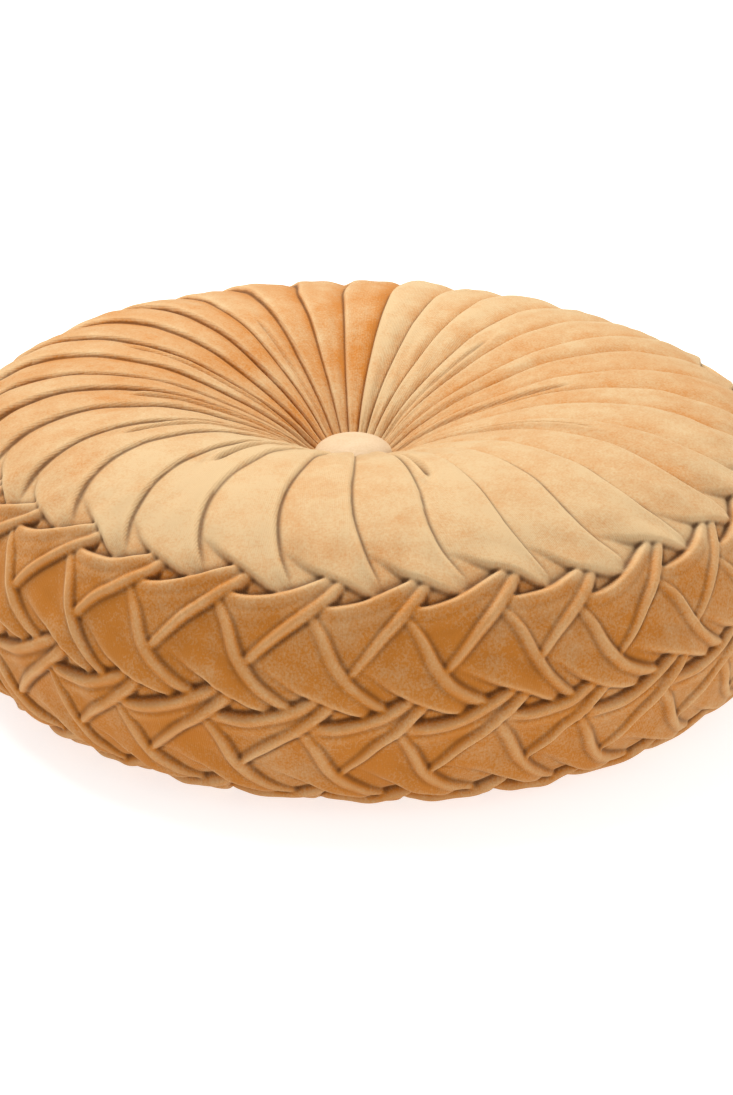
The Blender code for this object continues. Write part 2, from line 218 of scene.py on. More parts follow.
# down, across, height
FALLING_RIDGE = (
    (0.03, -0.850, -3.0),
    (0.125, -0.775, -0.6),
    (0.20, -0.715, 0.6),
    (0.33, -0.615, 1.6),
    (0.62, -0.440, 2.5),
    (0.785, -0.275, 2.6),
    (0.88, -0.120, 2.2),
    (0.95, 0.020, 1.3),
    (1.01, 0.150, -0.4),
    (1.06, 0.260, -3.4),
)

# %% Lines of the pleats
# Fold of a top pleat, from the button out to its knot: down, across, share of the full step
TOP_FOLD = (
    (-4.20, -0.05, 0.50),
    (-3.40, -0.15, 0.74),
    (-2.60, -0.25, 0.86),
    (-1.80, -0.33, 0.95),
    (-1.20, -0.38, 1.05),
    (-0.80, -0.36, 1.20),
    (-0.50, -0.27, 1.35),
    (-0.30, -0.17, 1.25),
    (-0.15, -0.07, 1.10),
    (-0.04, 0.03, 1.00),
    (0.06, 0.12, 1.00),
    (0.20, 0.24, 1.00),
)
# Fold of an underside pleat, from its knot in to the lower button: down, across, share of the step
UNDER_FOLD = (
    (-0.30, 0.60, 1.00),
    (-0.185, 0.495, 1.00),
    (-0.03, 0.37, 1.00),
    (0.20, 0.27, 1.00),
    (0.45, 0.24, 1.00),
    (0.90, 0.24, 0.80),
    (1.50, 0.28, 0.65),
    (2.40, 0.30, 0.55),
    (3.40, 0.25, 0.40),
    (4.60, 0.15, 0.25),
)
crescent_line = smooth_curve(CRESCENT_EDGE, 400)
flap_line = smooth_curve(POINTED_FLAP_EDGE, 400)
rising_line = smooth_curve(RISING_RIDGE, 400)
falling_line = smooth_curve(FALLING_RIDGE, 400)
top_fold_line = smooth_curve(TOP_FOLD, 800)
under_fold_line = smooth_curve(UNDER_FOLD, 800)

# %% [markdown]
# ## How velvet turns over an edge
# A folded edge of velvet is a small roll: a quarter round inside the edge, and then the cloth drops
# out of sight. A ridge is a narrow roll with two sides. With these two shapes, laid over each other
# by keeping whichever is higher, one flap lies on the next as in the sewing, without any cutting.

# %% Rolls and ridges
FOLD_SIDE = 3.0
HIDDEN_SIDE = 2.5
OUT_OF_SIGHT = -60.0
GROOVE = 0.9
GROOVE_WIDTH = 1.2


def ease(start, end, value):
    """Smooth step from 0 to 1."""
    part = np.clip((value - start) / (end - start), 0.0, 1.0)
    return part * part * (3.0 - 2.0 * part)


def rolled_edge(inward, radius):
    """Drop at a folded edge: a quarter round inside it, a steep fall outside."""
    part = np.clip(1.0 - inward / radius, 0.0, 1.0)
    inside = radius * (1.0 - np.sqrt(1.0 - part * part))
    return np.where(inward >= 0.0, inside, radius - FOLD_SIDE * inward)


def round_ridge(offset, left, right):
    """Drop to each side of a narrow rounded ridge."""
    width = np.where(offset < 0.0, left, right)
    part = np.clip(np.abs(offset) / width, 0.0, 1.0)
    inside = width * (1.0 - np.sqrt(1.0 - part * part))
    return np.where(np.abs(offset) < width, inside, width + FOLD_SIDE * (np.abs(offset) - width))


def groove(away):
    """Depth of the pinch in the cloth beside a ridge or under a folded edge."""
    part = np.clip(1.0 - away / GROOVE_WIDTH, 0.0, 1.0)
    return GROOVE * part * part


# %% Distances from a line of the pattern
def read(curve, at, column):
    """One column of a sampled curve."""
    return np.interp(at, curve[:, 0], curve[:, column])


def height_along(curve, at):
    """Height of a line, far below the body beyond its ends."""
    outside = (at < curve[0, 0]) | (at > curve[-1, 0])
    return np.where(outside, OUT_OF_SIGHT, read(curve, at, 2))


def lean(curve, at, run, rise):
    """How much a slanted line shortens a distance measured straight across it."""
    slope = np.interp(at, curve[:, 0], np.gradient(curve[:, 1], curve[:, 0]))
    return 1.0 / np.sqrt(1.0 + (slope * rise / run) ** 2)


def across_line(curve, across, down):
    """Millimetres to the right of a line that runs down the side."""
    offset = (across - read(curve, down, 1)) * cell_width
    return offset * lean(curve, down, row_height, cell_width) / MM


def below_line(curve, across, down):
    """Millimetres below a line that runs around the side."""
    offset = (down - read(curve, across, 1)) * row_height
    return offset * lean(curve, across, cell_width, row_height) / MM


# %% [markdown]
# ## No two cells alike
# Hand smocking is never even. Each cell gets its own small changes: where its ridges lie, how high
# they stand and how full its flaps are. The changes come from a fixed formula of the cell's number,
# so the pillow is the same each time the script runs.

# %% Small changes from cell to cell
def chance(cell, kind):
    """A fixed number from -1 to 1 for a cell, a different one for each kind of change."""
    wave = np.sin((np.mod(cell, CELLS) + 1.0) * 12.9898 + kind * 78.233) * 43758.5453
    return 2.0 * (wave - np.floor(wave)) - 1.0


# %% [markdown]
# ## Flaps
# A flap starts at its rolled edge and settles to the height of its middle over about a centimetre.
# The crescent flap hangs down from its edge, and the pointed flap stands up from it.

# %% The two flaps
FOLD_ROLL = 1.6
SOFT_ROLL = 5.0
FLAP_SETTLES = 12.0
EDGE_HOLDS = 1.0
BEAD_AT = 5.2
BEAD_GROOVE = 1.5
BEAD_ROLL = 0.4
# Across the cell, where a bead starts and is full, and where the edge of the pointed flap turns soft,
# away from its point
BEAD_STARTS = (-0.75, -0.45)
FLAP_SOFTENS = (-0.55, -1.2)


def crescent_flap(across, down, body, bead):
    """A flap whose free edge is a crescent over the knot, and may be rolled into a bead."""
    edge = height_along(crescent_line, across)
    inward = below_line(crescent_line, across, down)
    settled = edge + (body - edge) * ease(EDGE_HOLDS, FLAP_SETTLES, inward)
    settled -= bead * np.exp(-(((inward - BEAD_AT) / BEAD_GROOVE) ** 2)) * ease(*BEAD_STARTS, across)
    return settled - rolled_edge(inward, FOLD_ROLL + BEAD_ROLL * bead)


def pointed_flap(across, down, body):
    """A flap that narrows to a point, tucked under the crescent at its knot."""
    edge = height_along(flap_line, across)
    inward = -below_line(flap_line, across, down)
    roll = FOLD_ROLL + SOFT_ROLL * ease(*FLAP_SOFTENS, across)
    settled = edge + (body - edge) * ease(EDGE_HOLDS, FLAP_SETTLES, inward)
    return settled - rolled_edge(inward, roll)


# %% [markdown]
# ## One row of smocking
# Between two knot lines lie four things: the crescent flap, the pointed flap of the line below, and
# the rising and falling ridges. A flap swells a little towards the ridge at its right, because the
# ridge is its own folded rim.

# %% The side of the pillow
FLAP_MIDDLE = -0.1
FLAP_HOLLOW = -0.6
FLAP_VARIES = 0.4
UPPER_SWELL = 0.25
LOWER_SWELL = 0.30
SWELL_WIDTH = 9.0
RIDGE_WIDTH = 2.0
WIDE_RIDGE = 2.7
SLIM_RIDGE = 1.6
SOFT_RIDGE_WIDTH = 3.0
RIDGE_VARIES = 0.16
# Ridges and knots wander by shares of a cell and of a row, and those at the left arch
RIDGE_WANDERS = 0.05
KNOT_WANDERS = 0.02
ARCH = 0.13
# For the top, middle and bottom line of knots: shift in cells, and depth of the bead
LINE_SHIFT = (0.0, -0.08, -0.02)
LINE_BEAD = (0.5, 1.3, 0.8)
# Each line of knots takes its chances from cells so much further on than the last
NEXT_CHANCES = 40.0
# Rows below the knot: where the upper flap has ended, and where the lower one has
UPPER_FLAP_ENDS = 0.8
LOWER_FLAP_ENDS = 0.1


def side_row(turn, down, line):
    """The flaps and ridges between one knot line and the next."""
    height = np.full(turn.shape, OUT_OF_SIGHT)
    step = LINE_SHIFT[line + 1] - LINE_SHIFT[line]
    for neighbour in NEIGHBOURS:
        cell = np.floor(turn) + neighbour
        seed = cell + NEXT_CHANCES * line
        below = down - line - KNOT_WANDERS * chance(seed, 1)
        across = turn - cell - LINE_SHIFT[line]
        firm = 1.0 + RIDGE_VARIES * chance(seed, 2)
        middle = FLAP_MIDDLE + FLAP_VARIES * chance(seed, 3) + FLAP_HOLLOW * ease(0.25, 0.62, below)
        lower = FLAP_MIDDLE + FLAP_VARIES * chance(seed, 4) + FLAP_HOLLOW * ease(0.7, 0.35, below)

        bow = np.sin(np.pi * np.clip(below, 0.0, 1.0))
        arch = ARCH * bow * np.maximum(-np.sin(angle_of(cell)), 0.0)
        rising_across = across + RIDGE_WANDERS * chance(seed, 5) * bow + arch
        falling_across = across + RIDGE_WANDERS * chance(seed, 6) * bow
        last_across = across + 1.0 + RIDGE_WANDERS * chance(seed - 1.0, 5) * bow + arch
        to_rising = across_line(rising_line, rising_across, below)
        to_falling = across_line(falling_line, falling_across, below)
        to_last = across_line(rising_line, last_across, below)

        slim = WIDE_RIDGE + (SLIM_RIDGE - WIDE_RIDGE) * ease(0.0, 0.7, below)
        rising_top = height_along(rising_line, below) * firm
        rising = rising_top - round_ridge(to_rising, slim, slim)
        falling_top = height_along(falling_line, below) * firm
        falling = falling_top - round_ridge(to_falling, SOFT_RIDGE_WIDTH, RIDGE_WIDTH)
        swell = UPPER_SWELL * np.maximum(rising_top - middle, 0.0)
        middle_near = middle + swell * ease(-SWELL_WIDTH, 0.0, to_rising)
        middle_near -= groove(-to_rising - slim) + groove(to_falling - RIDGE_WIDTH)
        swell = LOWER_SWELL * np.maximum(falling_top - lower, 0.0)
        lower_near = lower + swell * ease(-SWELL_WIDTH, 0.0, to_falling)
        lower_near -= groove(to_last - slim)

        upper_flap = crescent_flap(across, below, middle_near, LINE_BEAD[line] * firm)
        upper_flap -= HIDDEN_SIDE * (np.maximum(to_rising, 0.0) + np.maximum(-to_falling, 0.0))
        upper_flap = np.where(below > UPPER_FLAP_ENDS, OUT_OF_SIGHT, upper_flap)

        lower_flap = pointed_flap(across - step, below - 1.0, lower_near)
        lower_flap -= HIDDEN_SIDE * (np.maximum(-to_last, 0.0) + np.maximum(to_falling, 0.0))
        lower_flap = np.where(below < LOWER_FLAP_ENDS, OUT_OF_SIGHT, lower_flap)
        height = np.maximum.reduce([height, rising, falling, upper_flap, lower_flap])
    return height


# %% [markdown]
# ## The bed of the windows
# Beside each knot one looks between two flaps, onto cloth that lies deeper. That bed is shallow, but it
# dives under the crescent edge below it, which gives the thin dark line that is seen in the photo.

# %% Cloth seen beside the knots
WINDOW_BED = -0.6
BED_DIP = 1.3
BED_DIP_WIDTH = 2.4
# The bed sinks away by so many millimetres between these rows above and below the knots
BED_SINKS = 6.0
BED_ENDS_ABOVE = (-0.36, -0.42)
BED_ENDS_BELOW = (0.14, 0.20)


def window_bed(turn, down):
    """Height of the cloth that shows between the flaps, near the knot lines only."""
    line = np.clip(np.round(down + 0.15), 0, 2)
    below = down - line
    height = WINDOW_BED - BED_SINKS * ease(*BED_ENDS_ABOVE, below) - BED_SINKS * ease(*BED_ENDS_BELOW, below)
    shift = np.take(LINE_SHIFT, line.astype(int))
    dip = np.zeros(turn.shape)
    for neighbour in NEIGHBOURS:
        across = turn - np.floor(turn) - neighbour - shift
        inside = (across > crescent_line[0, 0]) & (across < crescent_line[-1, 0])
        above = np.maximum(-below_line(crescent_line, across, below), 0.0)
        dip = np.maximum(dip, np.where(inside, np.exp(-((above / BED_DIP_WIDTH) ** 2)), 0.0))
    return height - BED_DIP * dip


# %% [markdown]
# ## Knife pleats
# From each knot a pleat runs over the crown to the button, and lies over the next one to its right.
# Its section is low where it comes out from under its neighbour, fills quickly and ends in a rolled
# fold. The pleats swirl more on the left than on the right, because the button is pulled that way, and
# a few near the button also hold a short dart, a pinch that dies out on the crown.

# %% How a pleat lies
PLEAT_LOW = -1.0
PLEAT_RISE = 2.7
PLEAT_GROOVE = 0.7
PLEAT_VARIES = 0.28
SWAY = 0.09
# Values around the pillow: the middle, what the front adds, what the right adds
SWIRL = (0.65, 0.35, -0.50)
FULLNESS = (1.10, -0.20, 0.15)
# Rows, negative above the top knots, where the pleats begin to swirl and where they do so fully
SWIRL_STARTS = (-0.4, -1.4)


def by_place(cell, middle, front, right):
    """A value that changes around the pillow."""
    place = angle_of(cell)
    return middle + front * np.cos(place) + right * np.sin(place)


def fullness(cell, down):
    """How full a pleat is: flat at the front, fuller at the back and right, and never the same twice."""
    fuller = by_place(cell, *FULLNESS)
    return (1.0 + (fuller - 1.0) * ease(-0.2, -0.9, down)) * (1.0 + PLEAT_VARIES * chance(cell, 8))


def fold_path(cell, down):
    """Where the fold of a top pleat would lie if no pleat swayed, in cells."""
    place = read(top_fold_line, down, 1)
    inner = place * ease(*SWIRL_STARTS, down)
    return cell + place + (by_place(cell, *SWIRL) - 1.0) * inner


def fold_place(cell, down):
    """Where the fold of a top pleat lies, with its own sway, in cells."""
    sway = SWAY * chance(cell, 7) * ease(*SWIRL_STARTS, down) * ease(-4.2, -2.4, down)
    return fold_path(cell, down) + sway


def pleat_section(part):
    """Height of a pleat from its left side, 0, to its fold, 1: most of a half wave, quick to fill."""
    filled = np.clip(part, 0.0, 1.2) ** 0.75
    return PLEAT_LOW + PLEAT_RISE * np.sin(np.pi * (0.02 + 0.60 * filled))


def local_width(down):
    """Width of a cell at some row, in millimetres."""
    narrow = np.interp(down, section_down, section_radius) / section_radius.max()
    return cell_width / MM * np.maximum(narrow, 0.05)


# %% The pleats of the top
def top_pleats(turn, down):
    """The pleats that run from the button to the top knots."""
    height = np.full(turn.shape, OUT_OF_SIGHT)
    share = read(top_fold_line, down, 2)
    tight = np.minimum(share, 1.0)
    width = local_width(down) * lean(top_fold_line, down, row_height, cell_width)
    for neighbour in NEIGHBOURS:
        cell = np.floor(turn) + neighbour
        left = fold_place(cell - 1.0, down)
        right = fold_place(cell, down)
        part = (turn - left) / (right - left)
        body = pleat_section(part) * share * fullness(cell, down)
        body -= PLEAT_GROOVE * groove((turn - left) * width) * tight
        pleat = pointed_flap(turn - cell, down, body)
        pleat -= rolled_edge((right - turn) * width, FOLD_ROLL * tight)
        height = np.maximum(height, np.where(down > 0.2, OUT_OF_SIGHT, pleat))
    return height


# %% Short darts near the button
# cell, part of the pleat, row down at which the dart ends, depth
DARTS = (
    (-4, 0.45, -1.20, 2.2),
    (-2, 0.50, -1.35, 2.4),
    (2, 0.30, -1.45, 2.6),
    (-6, 0.55, -1.60, 1.8),
    (6, 0.60, -1.50, 1.6),
    (9, 0.35, -1.90, 1.4),
    (-9, 0.40, -1.40, 1.6),
    (-13, 0.60, -1.80, 1.2),
    (13, 0.50, -2.00, 1.2),
)
DART_WIDTH = 1.1
DART_FADES = 0.25
# The cloth beside a dart bulges, to its left: share of the dart's depth, millimetres away, width
BULGE_SHARE = 0.45
BULGE_AWAY = 2.8
BULGE_WIDTH = 1.7


def dart_depth(turn, down):
    """Depth of the short darts."""
    depth = np.zeros(turn.shape)
    width = local_width(down)
    for cell, part, end, deep in DARTS:
        line = fold_place(cell - 1.0, down) * (1.0 - part) + fold_place(float(cell), down) * part
        away = np.mod(turn - line + CELLS / 2.0, CELLS) - CELLS / 2.0
        offset = away * width
        pinch = np.exp(-((offset / DART_WIDTH) ** 2))
        pinch -= BULGE_SHARE * np.exp(-(((offset + BULGE_AWAY) / BULGE_WIDTH) ** 2))
        depth += deep * pinch * ease(end, end - DART_FADES, down) * ease(-4.3, -3.6, down)
    return depth


# %% The pleats of the underside
def under_pleats(turn, down):
    """The pleats that run from the bottom knots to the lower button."""
    height = np.full(turn.shape, OUT_OF_SIGHT)
    below = down - 2.0
    fold = read(under_fold_line, below, 1)
    share = read(under_fold_line, below, 2)
    width = local_width(down) * lean(under_fold_line, below, row_height, cell_width)
    for neighbour in NEIGHBOURS:
        cell = np.floor(turn) + neighbour
        across = turn - cell - LINE_SHIFT[2]
        part = across - fold + 1.0
        body = pleat_section(part) * share * (1.0 + 0.2 * chance(cell, 9))
        body -= groove(part * width) * share
        pleat = crescent_flap(across, below, body, LINE_BEAD[2])
        pleat -= rolled_edge((1.0 - part) * width, FOLD_ROLL * share)
        height = np.maximum(height, np.where(below < -0.35, OUT_OF_SIGHT, pleat))
    return height


# %% [markdown]
# ## Lay out the cloth
# The whole tube is one fine net of points, counted in cells around and rows down. Its columns lean
# with the pleats, so that a fold follows a line of points and stays crisp. On the side its points are
# half a millimetre apart down the cloth and less than a millimetre around. It is then cut into six
# bands, so that no piece is too heavy, but all are worked out together and so meet without a seam.

# %% The net of points
COLUMNS_PER_CELL = 48
# The columns lean above this row of the top, and from so many rows below the bottom knots
TOP_LEANS_ABOVE = -0.3
FOOT_LEANS_BELOW = 0.4
DEEPEST_FOLD = -5.0
# band, row down at which it ends, rings of points
BANDS = (
    ("velvet_top", -0.62, 62),
    ("velvet_rim", 0.12, 62),
    ("velvet_upper_side", 0.86, 62),
    ("velvet_lower_side", 1.60, 62),
    ("velvet_foot", 2.34, 62),
    ("velvet_underside", section_down[-1], 60),
)
levels = [section_down[0]]
edges = [0]
for band, end, rings in BANDS:
    levels += list(np.linspace(levels[-1], end, rings + 1)[1:])
    edges.append(len(levels) - 1)
columns = CELLS * COLUMNS_PER_CELL
grid_turn, grid_down = np.meshgrid(np.arange(columns) / COLUMNS_PER_CELL, np.array(levels))
top_lean = fold_path(grid_turn, np.minimum(grid_down, TOP_LEANS_ABOVE))
top_lean -= fold_path(grid_turn, TOP_LEANS_ABOVE)
under_lean = read(under_fold_line, np.maximum(grid_down - 2.0, FOOT_LEANS_BELOW), 1)
under_lean -= read(under_fold_line, FOOT_LEANS_BELOW, 1)
grid_turn = grid_turn + top_lean + under_lean
print("net", grid_turn.shape, "points")

# %% Heights of the folds
folds = np.maximum(window_bed(grid_turn, grid_down), under_pleats(grid_turn, grid_down))
folds = np.maximum(folds, side_row(grid_turn, grid_down, 0))
folds = np.maximum(folds, side_row(grid_turn, grid_down, 1))
pleats = top_pleats(grid_turn, grid_down)
shows_pleat = np.where(pleats > folds, 1.0, 0.0)
folds = np.maximum(folds, pleats)
folds = np.maximum(folds, DEEPEST_FOLD) - dart_depth(grid_turn, grid_down)


def soften(values):
    """Average each point with its neighbours, around and down."""
    around = 0.25 * np.roll(values, 1, axis=1) + 0.5 * values + 0.25 * np.roll(values, -1, axis=1)
    wider = np.concatenate([around[:1], around, around[-1:]])
    return 0.25 * wider[:-2] + 0.5 * wider[1:-1] + 0.25 * wider[2:]


folds = soften(soften(folds))
print("folds from", round(folds.min(), 1), "to", round(folds.max(), 1), "mm")

# %% [markdown]
# ## Slack in the cloth
# Cloth over soft filling is never quite flat. Three crossing trains of low waves, a centimetre or two
# long, give each flap its own slight buckle, and they are lower on the top, where the cloth is tighter.

# %% Low waves
# height, waves around, waves down a row, start
SLACK = (
    (0.17, 71, 0.81, 1.0),
    (0.17, -58, 1.23, 2.3),
    (0.15, 47, -1.80, 0.6),
)
WANDER = 1.4
WANDER_AROUND = 9.0
WANDER_DOWN = 2.0
LOWER_ON_TOP = 0.6
plain_angle = angle_of(grid_turn)
slack = np.zeros(grid_turn.shape)
for high, around, rows, start in SLACK:
    wander = WANDER * np.sin(WANDER_AROUND * plain_angle + WANDER_DOWN * grid_down + start)
    slack += high * np.sin(around * plain_angle + 2.0 * math.pi * rows * grid_down + start + wander)
slack *= 1.0 - LOWER_ON_TOP * ease(-0.4, -1.0, grid_down)

# %% [markdown]
# ## Put the cloth on the body
# Each point goes out from the body by the height of its fold. Slow waves around the pillow make the
# cells unequal, as hands do. The button sits a little left of the middle and drags the crown with it,
# and the top line of knots runs a little downhill to the right, both as in the photo.

# %% Places in space
FIRST_KNOT = math.radians(1.1)
KNOT_LINE_SLOPE = -5.0 * MM
OFFSET_FADES_AT = 0.150
# waves around, phase, shift in cells, shift in rows, share of height
UNEVEN = (
    (3, 0.4, 0.020, 0.015, 0.06),
    (7, 1.9, 0.025, 0.020, 0.07),
    (13, 4.1, 0.022, 0.020, 0.08),
    (19, 2.7, 0.020, 0.020, 0.08),
)
button_middle = (button_box[0] + button_box[1]) / 2.0
button_radius = (button_box[1].x - button_box[0].x) / 2.0


def on_section(values, down):
    """Values of the section at a number of rows down."""
    return np.interp(down, section_down, values)


shifted = grid_turn.copy()
lowered = grid_down.copy()
firmness = np.ones(grid_turn.shape)
on_side = ease(-1.0, 0.0, grid_down) * ease(3.0, 2.0, grid_down)
for waves, phase, shift, drop, share in UNEVEN:
    shifted += shift * np.sin(waves * plain_angle + phase)
    lowered += drop * np.sin(waves * plain_angle + 2.0 * phase) * on_side
    firmness += share * np.sin(waves * plain_angle + 3.0 * phase)
angle = FIRST_KNOT + angle_of(shifted)
radius = on_section(section_radius, lowered)
relief = (folds * firmness + slack) * MM * ease(button_radius * 0.75, button_radius * 1.3, radius)
height = on_section(section_height, lowered) + relief * on_section(out_height, lowered)
height += KNOT_LINE_SLOPE * np.sin(angle) * radius / section_radius.max() * ease(1.5, 0.0, grid_down)
pulled = 1.0 - ease(0.0, OFFSET_FADES_AT, radius)
reach = radius + relief * on_section(out_radius, lowered)
cloth = np.stack(
    [
        reach * np.sin(angle) + button_middle.x * pulled,
        -reach * np.cos(angle) + button_middle.y * pulled,
        np.maximum(height, 0.0),
    ],
    axis=-1,
)
print("cloth", [round(float(side) * 1000) for side in np.ptp(cloth, axis=(0, 1))], "mm")

# %% [markdown]
# ## What the velvet needs to know
# The material reads three things that the cloth carries with it. One is a map of its fine ribs. The
# second, crest, tells whether a place stands above its surroundings, where a cream highlight is
# painted, or below them, where a deep brown shade is painted. The third is a tone for each pleat and
# flap, partly from the way its pile is brushed and partly painted light and sheen, as they fall on it.

# %% Directions and crests
CREST_HEIGHT = 0.40
NO_LENGTH = 1e-14
down_step = np.gradient(cloth, axis=0)
around_step = (np.roll(cloth, -1, axis=1) - np.roll(cloth, 1, axis=1)) / 2.0
facing = np.cross(down_step, around_step)
length = np.linalg.norm(facing, axis=-1, keepdims=True)
facing = np.where(length > NO_LENGTH, facing / np.maximum(length, NO_LENGTH), 0.0)
facing[0] = (0.0, 0.0, 1.0)
facing[-1] = (0.0, 0.0, -1.0)

broad = soften(soften(soften(folds)))
crest = np.clip((folds - broad) / CREST_HEIGHT, -1.0, 1.0)

# %% Tones of the pleats and flaps, with painted light and shade
# degrees around from the front, rightwards; how pale the top is there, partly its pile and partly painted
# light and sheen as they fall on that side
TOP_TONES = (
    (0, 0.88),
    (20, 0.85),
    (45, 0.72),
    (80, 0.60),
    (115, 0.62),
    (140, 0.68),
    (154, 0.88),
    (169, 0.86),
    (175, 0.34),
    (186, 0.28),
    (192, 0.46),
    (206, 0.42),
    (220, 0.44),
    (255, 0.40),
    (285, 0.50),
    (310, 0.72),
    (335, 0.90),
    (360, 0.88),
)
# the same for the side
SIDE_TONES = (
    (0, 0.10),
    (45, 0.20),
    (80, 0.34),
    (140, 0.20),
    (220, 0.12),
    (290, 0.10),
    (330, 0.06),
    (360, 0.10),
)
PLEAT_TONE_VARIES = 0.10
# How much paler the side is painted near the top knots and just above them, as painted light where the cloth
# turns up to the light, and under the pillow, as painted fill light
LIT_NEAR_KNOTS = 0.20
LIT_ABOVE_KNOTS = 0.40
FILL_UNDERNEATH = 0.35
# Painted shade in the valley and painted highlight on the brim of a pleat: share at the front, and what the
# back adds
VALLEY_SHADE = (0.08, 0.30)
BRIM_HIGHLIGHT = (0.05, 0.20)
# Painted shade: how dark and how wide a thin line is painted in the crease beside each fold of the top
CREASE_SHADE = 0.35
CREASE_SHADE_WIDTH = 0.9


def around_tone(table, places):
    """Tone from a table by the place around the pillow."""
    degrees, tones = np.array(table, dtype=float).T
    return np.interp(np.mod(np.degrees(places), 360.0), degrees, tones)


number = np.zeros(grid_turn.shape)
for neighbour in (-1, 0, 1):
    behind = np.floor(grid_turn) + neighbour
    top_place = fold_place(behind, grid_down)
    under_place = behind + LINE_SHIFT[2] + read(under_fold_line, grid_down - 2.0, 1)
    place = np.where(grid_down < 1.0, top_place, under_place)
    number = np.where(grid_turn > place, behind + 1.0, number)
middle_of_pleat = FIRST_KNOT + angle_of(number - 0.7)
on_top = soften(soften(shows_pleat)) * (0.72 + 0.28 * ease(-0.1, -0.5, grid_down))
last_fold = fold_place(number - 1.0, grid_down)
across_pleat = (grid_turn - last_fold) / (fold_place(number, grid_down) - last_fold)
turned_away = 0.5 - 0.5 * np.cos(plain_angle)
# Painted shade on the low side of each pleat and a painted highlight near its fold
valley_shade = (VALLEY_SHADE[0] + VALLEY_SHADE[1] * turned_away) * ease(0.50, 0.0, across_pleat)
brim_highlight = (BRIM_HIGHLIGHT[0] + BRIM_HIGHLIGHT[1] * turned_away) * ease(0.70, 0.98, across_pleat)
top_tone = around_tone(TOP_TONES, middle_of_pleat) + PLEAT_TONE_VARIES * chance(number, 11) - valley_shade + brim_highlight
side_tone = around_tone(SIDE_TONES, plain_angle)
# Painted light near the top knots and painted fill light under the pillow
side_tone += LIT_NEAR_KNOTS * ease(0.45, -0.05, grid_down) + LIT_ABOVE_KNOTS * ease(0.02, -0.10, grid_down)
side_tone += FILL_UNDERNEATH * ease(2.1, 2.6, grid_down)
# The top is painted paler than the side: partly its pile, partly painted light and sheen from above
tone = soften(side_tone + (top_tone - side_tone) * on_top)
# Painted shade along the crease beside each fold of the top, carried into the crest value
from_fold = (grid_turn - last_fold) * local_width(grid_down)
crease_shade = np.exp(-((from_fold / CREASE_SHADE_WIDTH) ** 2))
crease_shade *= ease(-0.12, -0.3, grid_down) * ease(-4.3, -3.8, grid_down)
crest = crest - CREASE_SHADE * crease_shade
print("tone from", round(tone.min(), 2), "to", round(tone.max(), 2))

# %% [markdown]
# ## Make a band
# A band starts as Blender's own flat grid, as a length of cloth lies on the table before it is sewn.
# Its points are then moved to their places on the pillow, the two ends are welded into a tube, and
# the directions worked out from the whole cloth are given to it, so that light runs smoothly from one
# band to the next.

# %% From flat grid to band
RIBS_PER_CELL = 44
WELD = 0.001 * MM


def wrapped(values, step=0.0):
    """Rings of values with the first column, one step on, repeated at the end."""
    return np.concatenate([values, values[:, :1] + step], axis=1)


def add_value(mesh, name, values):
    """Store one number for each point of a mesh."""
    layer = mesh.attributes.new(name, "FLOAT", "POINT")
    layer.data.foreach_set("value", np.ascontiguousarray(values, dtype=np.float32).ravel())


def add_weave(mesh, rings):
    """A map of the cloth: across in ribs from the pleat's fold, down in metres."""
    corners = np.empty(len(mesh.loops), dtype=np.int32)
    mesh.loops.foreach_get("vertex_index", corners)
    corners = corners.reshape(-1, 4)
    turn = wrapped(grid_turn[rings], CELLS).ravel()
    pleat = wrapped(number[rings], CELLS).ravel()
    narrow = np.minimum(wrapped(radius[rings]) / on_section(section_radius, 0.0), 1.0).ravel()
    down = wrapped(on_section(along, lowered[rings])).ravel()
    own_pleat = pleat[corners].min(axis=1)[:, None]
    across = (turn[corners] - own_pleat) * RIBS_PER_CELL * narrow[corners]
    weave = mesh.uv_layers.new(name="weave")
    weave.uv.foreach_set("vector", np.stack([across, down[corners]], axis=-1).astype(np.float32).ravel())


def make_band(name, first, last):
    """A tube of cloth from one ring of the net to another."""
    bpy.ops.object.select_all(action="DESELECT")
    bpy.ops.mesh.primitive_grid_add(x_subdivisions=columns, y_subdivisions=last - first, size=1.0)
    band = bpy.context.object
    band.name = name
    mesh = band.data
    mesh.name = name
    rings = slice(first, last + 1)
    mesh.vertices.foreach_set("co", wrapped(cloth[rings]).astype(np.float32).ravel())
    add_value(mesh, "crest", wrapped(crest[rings]))
    add_value(mesh, "tone", wrapped(tone[rings]))
    add_weave(mesh, rings)
    layer = mesh.attributes.new("facing", "FLOAT_VECTOR", "POINT")
    layer.data.foreach_set("vector", wrapped(facing[rings]).astype(np.float32).ravel())
    mesh.update()
    bpy.ops.object.mode_set(mode="EDIT")
    bpy.ops.mesh.select_all(action="SELECT")
    bpy.ops.mesh.remove_doubles(threshold=WELD)
    bpy.ops.object.mode_set(mode="OBJECT")
    return band


bands = {}
for (name, end, rings), first, last in zip(BANDS, edges, edges[1:]):
    bands[name] = make_band(name, first, last)
    print(name, len(bands[name].data.polygons), "faces")

# %% Turn the faces outwards and smooth them
for band in bands.values():
    mesh = band.data
    count = len(mesh.vertices)
    directions = np.empty(count * 3, dtype=np.float32)
    mesh.attributes["facing"].data.foreach_get("vector", directions)
    directions = directions.reshape(-1, 3)
    middle_face = mesh.polygons[len(mesh.polygons) // 2]
    agrees = Vector(directions[middle_face.vertices[0]]).dot(middle_face.normal)
    if agrees < 0.0:
        mesh.flip_normals()
    mesh.shade_smooth()
    mesh.normals_split_custom_set_from_vertices(directions.tolist())
    mesh.attributes.remove(mesh.attributes["facing"])
    print(band.name, "faced out", round(agrees, 2))

